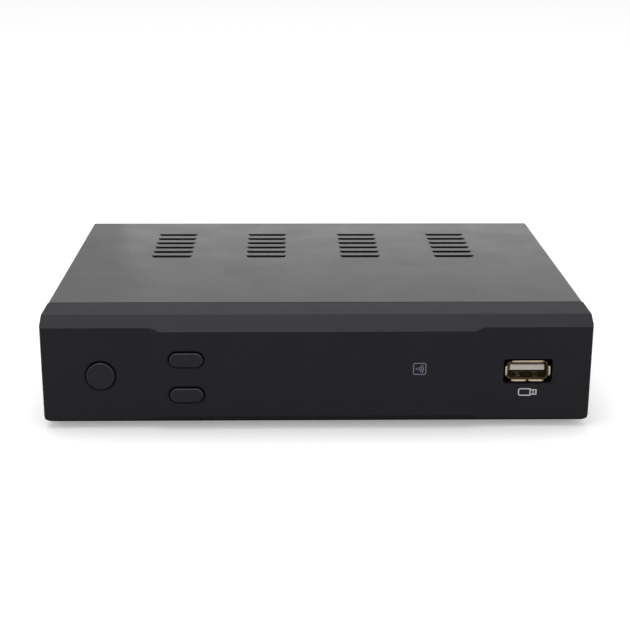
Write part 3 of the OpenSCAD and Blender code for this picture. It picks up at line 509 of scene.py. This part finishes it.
def cross(angle, scale):
    """Distance from the screw's axis to the edge of the cross, at an angle."""
    off = abs((angle + math.pi / 4) % (math.pi / 2) - math.pi / 4)
    return min(RECESS, ARM / 2 / max(math.sin(off), 1e-6)) * scale


def screw(head_r, head_h, thread_r, length):
    def dome(r):
        return head_h - DOME_R + math.sqrt(DOME_R ** 2 - r ** 2)

    def recess(radius, depth, angle):
        if radius > 0:
            return radius, depth
        r = cross(angle, -radius)
        return r, depth if radius > -1 else dome(r)

    shank = [(thread_r - 0.3, -length), (thread_r, -length + 0.5), (thread_r, 0)]
    crown = [(head_r * t, dome(head_r * t)) for t in (0.97, 0.9, 0.8, 0.7)]
    side = [(head_r - 0.15, 0), (head_r, 0.15), (head_r, crown[0][1] - 0.15)]
    floor = [(-1.0, 0), (-0.93, head_h - 0.5), (-0.55, head_h - 1.25)]
    return turned(shank + side + crown + floor, recess, count=96)


for number, (low, high) in enumerate(solids("cover_screws"), 1):
    middle = (low + high) / 2
    outward = 1 if middle.x > 0 else -1
    head_r = (high.z - low.z) / 2 / MM
    head_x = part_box("top_cover")[1].x * outward
    head_h = abs((high.x if outward > 0 else low.x) - head_x) / MM
    made = screw(head_r, head_h, THREAD_R, (high.x - low.x) / MM - head_h)
    made = placed(made, Vector((head_x, middle.y, middle.z)), (outward, 0, 0))
    piece(f"cover_screw_{number}", made, "cover_screws", ["cover_screws"], smooth=40)

# %% [markdown]
# ## Aerial sockets
# The barrels carry a 3/8-32 thread: 32 turns to the inch, so a pitch of 0.79 mm. A thread is a
# ridge that climbs one pitch per turn. A screw modifier could wind it, but the ring-by-ring lathe
# gets it by shifting the ridge with the angle, and lets it fade out at both ends.

# %% Threaded barrels
PITCH = 25.4 / 32
MAJOR_R = 4.76
THREAD_DEPTH = 0.42
BORE = 3.4
ROWS_PER_TURN = 8


def barrel(node):
    low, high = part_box(node)
    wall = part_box("chassis_tray")[1].y
    length = (high.y - low.y) / MM
    flange_r, flange_l = (high.x - low.x) / 2 / MM, (wall - low.y) / MM - 0.7
    start, end = (wall - low.y) / MM - 0.2, length - 0.5

    def ridge(radius, depth, angle):
        if radius != MAJOR_R:
            return radius, depth
        turn = (depth / PITCH - angle / (2 * math.pi)) % 1
        crest = min(1.0, max(0.0, abs(turn - 0.5) * 2.6 - 0.15))
        fade = min(1.0, (depth - start) / PITCH, (end - depth) / PITCH)
        return MAJOR_R - THREAD_DEPTH * crest * max(fade, 0.0), depth

    steps = int((end - start) / PITCH * ROWS_PER_TURN)
    rows = [(MAJOR_R, start + (end - start) * i / steps) for i in range(steps + 1)]
    neck = MAJOR_R - 0.4
    rings = [(BORE, 0), (flange_r, 0), (flange_r, flange_l), (neck, flange_l),
             (neck, start - 0.05), *rows, (MAJOR_R - 0.5, length), (BORE + 0.15, length),
             (BORE, length - 0.15)]
    spot = Vector(((low.x + high.x) / 2, low.y, (low.z + high.z) / 2))
    return placed(turned(rings, ridge, hollow=True), spot, (0, 1, 0))


for node in ("aerial_input", "aerial_loop_output"):
    piece(node + "_barrel", barrel(node), node, [node])

# %% [markdown]
# ## Aerial nuts
# Each nut is cut from hexagonal bar, and its corners are turned down to a cone on the lathe. So the
# same rings are limited by the hexagon's flats, except at the bore, which stays round.

# %% Nuts
NUT_BORE = 4.8
CONE = 0.35         # how far the turned cone runs down the corners


def nut(corner_r, height, bore):
    flat = corner_r * math.cos(math.pi / 6)

    def hexagon(radius, depth, angle):
        if radius <= bore + 0.3:
            return radius, depth
        edge = flat / math.cos((angle + math.pi / 6) % (math.pi / 3) - math.pi / 6)
        return min(radius, edge), depth

    rings = [(bore, 0.2), (bore + 0.2, 0), (flat * 0.97, 0), (corner_r, CONE),
             (corner_r, height - CONE), (flat * 0.97, height), (bore + 0.2, height),
             (bore, height - 0.2)]
    return turned(rings, hexagon, count=72, hollow=True)


for number, (low, high) in enumerate(solids("aerial_nuts"), 1):
    spot = Vector(((low.x + high.x) / 2, low.y, (low.z + high.z) / 2))
    made = nut((high.x - low.x) / 2 / MM, (high.y - low.y) / MM, NUT_BORE)
    piece(f"aerial_nut_{number}", placed(made, spot, (0, 1, 0)), "aerial_nuts", ["aerial_nuts"],
          smooth=25)

# %% [markdown]
# ## USB shell: the folded tube
# The shell is one strip of plated steel, folded into a tube with rounded corners. It could be a
# bevelled box with its front removed, but a tube of points gives its rolled front edge as well. The
# tube takes a dim, brownish copy of the nickel finish, which is painted shade for its shadowed
# inside.

# %% USB tube
usb_low, usb_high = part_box("usb_shell")
FLARE = 0.7         # how far the lips stand out beyond the tube, and forward of it
RIM = 0.3           # thickness of the tube's wall
usb_w = (usb_high.x - usb_low.x) / MM - 2 * FLARE
usb_h = (usb_high.z - usb_low.z) / MM - 2 * FLARE
usb_depth = (usb_high.y - usb_low.y) / MM
usb_centre = Vector(((usb_low.x + usb_high.x) / 2, usb_low.y, (usb_low.z + usb_high.z) / 2))


def usb_vert(shape, x, y, z):
    return shape.verts.new(usb_centre + Vector((x, y, z)) * MM)


def usb_tube():
    shape = bmesh.new()
    corner, half_w, half_h = 1.0, usb_w / 2, usb_h / 2
    outline = []
    for sx, sz, start in ((1, 1, 0), (-1, 1, 90), (-1, -1, 180), (1, -1, 270)):
        for i in range(7):
            a = math.radians(start + 15 * i)
            outline.append((sx * (half_w - corner) + corner * math.cos(a),
                            sz * (half_h - corner) + corner * math.sin(a)))
    front = FLARE + 0.1
    section = ((0, usb_depth), (0, front), (RIM / 2, FLARE), (RIM, front), (RIM, usb_depth))
    loops = [[usb_vert(shape, x * (1 - inward / half_w), y, z * (1 - inward / half_h))
              for x, z in outline] for inward, y in section]
    skin(shape, loops + loops[:1])
    return shape


# the tube's dim brownish finish is painted shade for the inside of the socket
piece("usb_shell_tube", usb_tube(), "usb_shell", ["usb_shell"], smooth=40, finish="inner_wall")

# %% [markdown]
# ## USB shell: wall springs
# Two tongues are punched out of the lower wall and bow inwards to grip the plug. They show as dull
# glints behind the lips. Each is a strip of four-cornered sections that rises and falls in an arc.

# %% USB wall springs
SPRING_T = 0.15     # thickness of a spring
SPRING_L = 4.5      # length of a spring


def wall_springs():
    shape = bmesh.new()
    for x in (-2.9, 2.9):
        rows = []
        for i in range(11):
            t = i / 10
            rise = 0.5 * math.sin(math.pi * t) + RIM
            fall = rise - SPRING_T
            half, y = 0.9 - 0.2 * t, 2.0 + SPRING_L * t
            section = ((-half, rise), (half, rise), (half, fall), (-half, fall))
            rows.append([usb_vert(shape, x + side, y, z - usb_h / 2) for side, z in section])
        skin(shape, rows, ends=True)
    return shape


piece("usb_wall_springs", wall_springs(), "usb_shell", ["usb_shell"])

# %% [markdown]
# ## USB shell: flared lips
# At the mouth each wall rolls outwards into a lip that guides the plug in, and the lower lip is
# split where the strip's ends meet. Each lip is drawn as a thin arc that rolls off its wall, with
# its corners cut back, and a solidify modifier then gives the sheet its thickness.

# %% USB lips
SHEET = 0.2         # thickness of a lip
BEND = 0.3          # radius of the roll
SPLIT = 0.5         # gap between the halves of the lower lip
TRIM = 0.3          # how far a lip's corners are cut back


def lip(shape, centre, along, outward, length):
    """centre, along and outward: (x, z) pairs that say where the lip lies on the mouth."""
    bend = [(BEND * (1 - math.cos(a)), BEND * (1 - math.sin(a)), 0)
            for a in [math.radians(18 * k) for k in range(6)]]
    profile = [(0, FLARE + 0.12, 0), *bend, (FLARE - 0.2, 0, 0), (FLARE, 0, TRIM)]
    rows = []
    for out, back, trim in profile:
        row = []
        for t in (-1, -0.5, 0, 0.5, 1):
            s = t * (length / 2 - trim)
            x = centre[0] + along[0] * s + outward[0] * out
            z = centre[1] + along[1] * s + outward[1] * out
            row.append(usb_vert(shape, x, back, z))
        rows.append(row)
    skin(shape, rows, ring=False)


def usb_lips():
    shape = bmesh.new()
    half_w, half_h = usb_w / 2, usb_h / 2
    lip_w, lip_h = usb_w * 0.8, usb_h * 0.6
    half_lip = (lip_w - SPLIT) / 2
    lip(shape, (0, half_h), (1, 0), (0, 1), lip_w)
    for side in (-1, 1):
        lip(shape, (side * (SPLIT + half_lip) / 2, -half_h), (1, 0), (0, -1), half_lip)
        lip(shape, (side * half_w, 0), (0, 1), (side, 0), lip_h)
    return shape


lips = piece("usb_shell_lips", usb_lips(), "usb_shell", ["usb_shell"], smooth=40)
thick = lips.modifiers.new("sheet_thickness", "SOLIDIFY")
thick.thickness = SHEET * MM
thick.offset = -1

# %% [markdown]
# ## USB contacts
# Four gold-flashed springs lie under the tongue and bow away from it, so that they press on the
# plug. Each is a thin strip bent along a shallow arc, which ends before the strip does.

# %% Contacts
STRIP_T = 0.12 * MM     # thickness of a contact
BOW = 0.75 * MM         # how far its arc stands off the tongue
ARC_SHARE = 0.62        # share of its length that is bent


def contacts():
    shape = bmesh.new()
    for low, high in solids("usb_contacts"):
        steps = 12
        rows = []
        for i in range(steps + 1):
            t = i / steps
            y = low.y + (high.y - low.y) * t
            bow = BOW * math.sin(math.pi * min(1, t * 1.6)) if t < ARC_SHARE else 0
            z = high.z - STRIP_T - bow
            rows.append([shape.verts.new(spot) for spot in (
                (low.x, y, z), (high.x, y, z), (high.x, y, z + STRIP_T), (low.x, y, z + STRIP_T))])
        skin(shape, rows, ends=True)
    return shape


piece("usb_contact_springs", contacts(), "usb_contacts", ["usb_contacts"])

# %% [markdown]
# ## Printed lines
# Pad printing leaves a film of ink a few hundredths of a millimetre thick. It could be painted in
# the shader, but a thin raised ribbon that follows each line keeps its edge crisp from any
# distance. The white ink is dense; the grey one is thinned, so it looks cooler and fainter.

# %% Ribbons of ink
FILM = 0.03
INK_IOR = 1.48
for slot, name, tones in (
        ("print", "pad_printing_ink_white", ("#e6e6e8", "#eeeeef")),
        ("grey_print", "pad_printing_ink_grey", ("#85859a", "#9090a4"))):
    surface(slot, name, tones, patch=1.5, rough=(0.45, 0.55), grain=0.25, depth=0.004,
            fixed={"IOR": INK_IOR})
print("inks", finishes["print"].name, finishes["grey_print"].name)


def stroke(shape, points, width, closed=False):
    """A ribbon of even width along points (x, z) in mm."""
    count = len(points)
    sides = ([], [])
    for i, point in enumerate(points):
        here = Vector(point)
        before = Vector(points[i - 1]) if closed or i else here
        after = Vector(points[(i + 1) % count]) if closed or i < count - 1 else here
        inward = (here - before).normalized() if here != before else (after - here).normalized()
        outward = (after - here).normalized() if here != after else inward
        across = (inward + outward).normalized()
        across = Vector((-across.y, across.x))
        reach = width / 2 / max(0.3, across.dot(Vector((-inward.y, inward.x))))
        for side, sign in zip(sides, (1, -1)):
            x, z = here + across * reach * sign
            side.append([shape.verts.new((x, y, z)) for y in (0, -FILM)])
    for i in range(count if closed else count - 1):
        j = (i + 1) % count
        (a0, a1), (b0, b1) = sides[0][i], sides[0][j]
        (c0, c1), (d0, d1) = sides[1][i], sides[1][j]
        for face in ((a1, b1, d1, c1), (a0, c0, d0, b0), (a0, b0, b1, a1), (c0, c1, d1, d0)):
            shape.faces.new(face)
    if not closed:
        for i in (0, -1):
            (a0, a1), (c0, c1) = sides[0][i], sides[1][i]
            shape.faces.new((a0, a1, c1, c0))


def arc(x, z, radius, start, end, count=6):
    angles = [math.radians(start + (end - start) * i / count) for i in range(count + 1)]
    return [(x + radius * math.cos(a), z + radius * math.sin(a)) for a in angles]


def rounded_box(w, h, r):
    corners = ((1, 1, 0), (-1, 1, 90), (-1, -1, 180), (1, -1, 270))
    return [point for sx, sz, start in corners
            for point in arc(sx * (w / 2 - r), sz * (h / 2 - r), r, start, start + 90)]


def on_panel(shape, x, face_y, z):
    shape.transform(Matrix.Translation((x, face_y, z)) @ Matrix.Scale(MM, 4))
    return shape


# %% [markdown]
# ## The two printed marks
# A small framed sign shows where the infrared receiver looks out: waves that spread from a dot. It
# lies on the middle zone of the panel. Under the socket, on the side zone, which lies 1.5 mm
# further back, is a plain picture of a memory stick: a body with rounded corners, and its plug.

# %% Marks
panel_low, panel_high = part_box("front_panel")
middle_y = panel_low.y
side_y = middle_y + 1.5 * MM
LINE = 0.32         # width of the sign's lines
BOLD = 0.37         # width of the memory stick's lines

mark = bmesh.new()
stroke(mark, rounded_box(3.9, 3.7, 0.5), LINE, closed=True)
stroke(mark, arc(-1.0, 0, 0.16, 0, 330, 11), LINE, closed=True)
for radius in (0.85, 1.5, 2.15):
    stroke(mark, arc(-1.0, 0, radius, -38, 38), LINE)
piece("infrared_mark", on_panel(mark, 32.4 * MM, middle_y, panel_low.z + 18.4 * MM),
      "front_panel", slot="white_insulator", finish="grey_print")

mark = bmesh.new()
stick = [(1.0, 1.1), (-2.2, 1.1), *arc(-2.2, 0.6, 0.5, 90, 180), *arc(-2.2, -0.6, 0.5, 180, 270),
         (1.0, -1.1)]
stroke(mark, stick, BOLD, closed=True)
stroke(mark, [(1.1, 0.75), (2.9, 0.75), (2.9, -0.75), (1.1, -0.75)], BOLD)
for z in (0.3, -0.3):
    stroke(mark, [(1.75, z), (2.25, z)], LINE)
piece("memory_stick_mark", on_panel(mark, usb_centre.x, side_y, panel_low.z + 9.9 * MM),
      "front_panel", slot="white_insulator", finish="print")

# %% [markdown]
# ## Finishes for the rest
# The nodes inside the housing keep their CAD shape. They still get their real finish, because the
# cover may come off in somebody's scene.

# %% Paint the CAD nodes
for node, target in cad_nodes.items():
    target.data.materials.clear()
    target.data.materials.append(finishes[slot_of[node]])
print("painted", len(cad_nodes), "CAD nodes")

# %% [markdown]
# ## Floor
# The receiver stands on a plain sheet of matt paper. What the paper looks like depends on who
# looks: the camera sees it nearly white, gloss and glass see it pale, and the light that it throws
# back onto the object is that of a mid grey, so the dark housing isn't lit from below. It also
# glows a little for the camera only, and stays white round the shadow without a brighter lamp.

# %% Floor
FLOOR_REACH = 15        # metres from the middle to the paper's edge
CAMERA_GLOW = 0.3
floor_shape = bmesh.new()
bmesh.ops.create_grid(floor_shape, x_segments=4, y_segments=4, size=FLOOR_REACH)
floor_mesh = bpy.data.meshes.new("studio_floor")
floor_shape.to_mesh(floor_mesh)
floor_shape.free()
floor = bpy.data.objects.new("studio_floor", floor_mesh)
bpy.context.scene.collection.objects.link(floor)
matt = bpy.data.materials.new("studio_paper")
matt.use_nodes = True
tree = matt.node_tree
tree.nodes.clear()
path = add(tree, "LightPath").outputs
mirrored = add(tree, "Math", {0: path["Is Glossy Ray"], 1: path["Is Transmission Ray"]},
               operation="MAXIMUM")
bounced = add(tree, "MixRGB", {
    "Fac": mirrored.outputs["Value"], "Color1": linear("#8c8c8c"), "Color2": linear("#c8c8c8")})
tone = add(tree, "MixRGB", {
    "Fac": path["Is Camera Ray"], "Color1": bounced.outputs["Color"],
    "Color2": linear("#f4f4f4")})
paper = add(tree, "BsdfDiffuse", {"Color": tone.outputs["Color"]})
lift = add(tree, "Math", {0: path["Is Camera Ray"], 1: CAMERA_GLOW}, operation="MULTIPLY")
glow = add(tree, "Emission", {"Color": linear("#ffffff"), "Strength": lift.outputs["Value"]})
both = add(tree, "AddShader", {0: paper.outputs["BSDF"], 1: glow.outputs["Emission"]})
add(tree, "OutputMaterial", {"Surface": both.outputs["Shader"]})
floor_mesh.materials.append(matt)
print("floor reaches", FLOOR_REACH, "m")

# %% [markdown]
# ## Light
# A white world lights the receiver from all round, as a photographer's light tent does. One large
# softbox high above gives the shadow its direction. A low card behind the object, just above the
# cover, is seen only in the satin paint: a coat reflects more the lower the angle, so the card
# makes the cover brighten towards the back. It sits a little to the right, because the left of the
# cover is the darker side.

# %% World and lamps
world = bpy.data.worlds.new("light_tent")
bpy.context.scene.world = world
world.use_nodes = True
tree = world.node_tree
tree.nodes.clear()
sky = add(tree, "Background", {"Color": linear("#ffffff"), "Strength": 0.72})
add(tree, "OutputWorld", {"Surface": sky.outputs["Background"]})


def softbox(name, spot, aim, size, watts):
    lamp = bpy.data.lights.new(name, "AREA")
    lamp.shape = "RECTANGLE"
    lamp.size, lamp.size_y = size
    lamp.energy = watts
    holder = bpy.data.objects.new(name, lamp)
    bpy.context.scene.collection.objects.link(holder)
    holder.location = spot
    holder.rotation_euler = (Vector(aim) - Vector(spot)).to_track_quat("-Z", "Y").to_euler()
    holder.visible_camera = False
    print(name, watts, "W")


softbox("overhead_softbox", (-0.1, 0.12, 0.9), (0, 0, 0), (0.9, 0.6), 3.6)
softbox("rear_card", (0.158, 0.2, 0.05), (0.158, 0, 0.04), (0.5, 0.08), 0.052)

# %% [markdown]
# ## Camera
# The camera looks at the front from a little above, about half a metre away, which gives the top
# its strong taper. Its direction is written as three angles, as on a tripod head: yaw turns it to
# the right, pitch tips it down, and roll turns it about its own line of sight.

# %% Camera
YAW, PITCH_DOWN, ROLL = math.radians(1.24), math.radians(17.39), math.radians(0.24)
lens = bpy.data.cameras.new("camera")
lens.sensor_width = 36
lens.lens = 76.3
camera = bpy.data.objects.new("camera", lens)
bpy.context.scene.collection.objects.link(camera)
bpy.context.scene.camera = camera
ahead = Vector((math.sin(YAW) * math.cos(PITCH_DOWN), math.cos(YAW) * math.cos(PITCH_DOWN),
                -math.sin(PITCH_DOWN)))
level = Vector((math.cos(YAW), -math.sin(YAW), 0))
upright = level.cross(ahead)
right = level * math.cos(ROLL) + upright * math.sin(ROLL)
up = upright * math.cos(ROLL) - level * math.sin(ROLL)
turn = Matrix((right, up, -ahead)).transposed()
camera.matrix_world = Matrix.Translation((-0.0095, -0.467, 0.1631)) @ turn.to_4x4()
bpy.context.scene.view_settings.view_transform = "Standard"
print("camera looks along", [round(c, 3) for c in ahead])
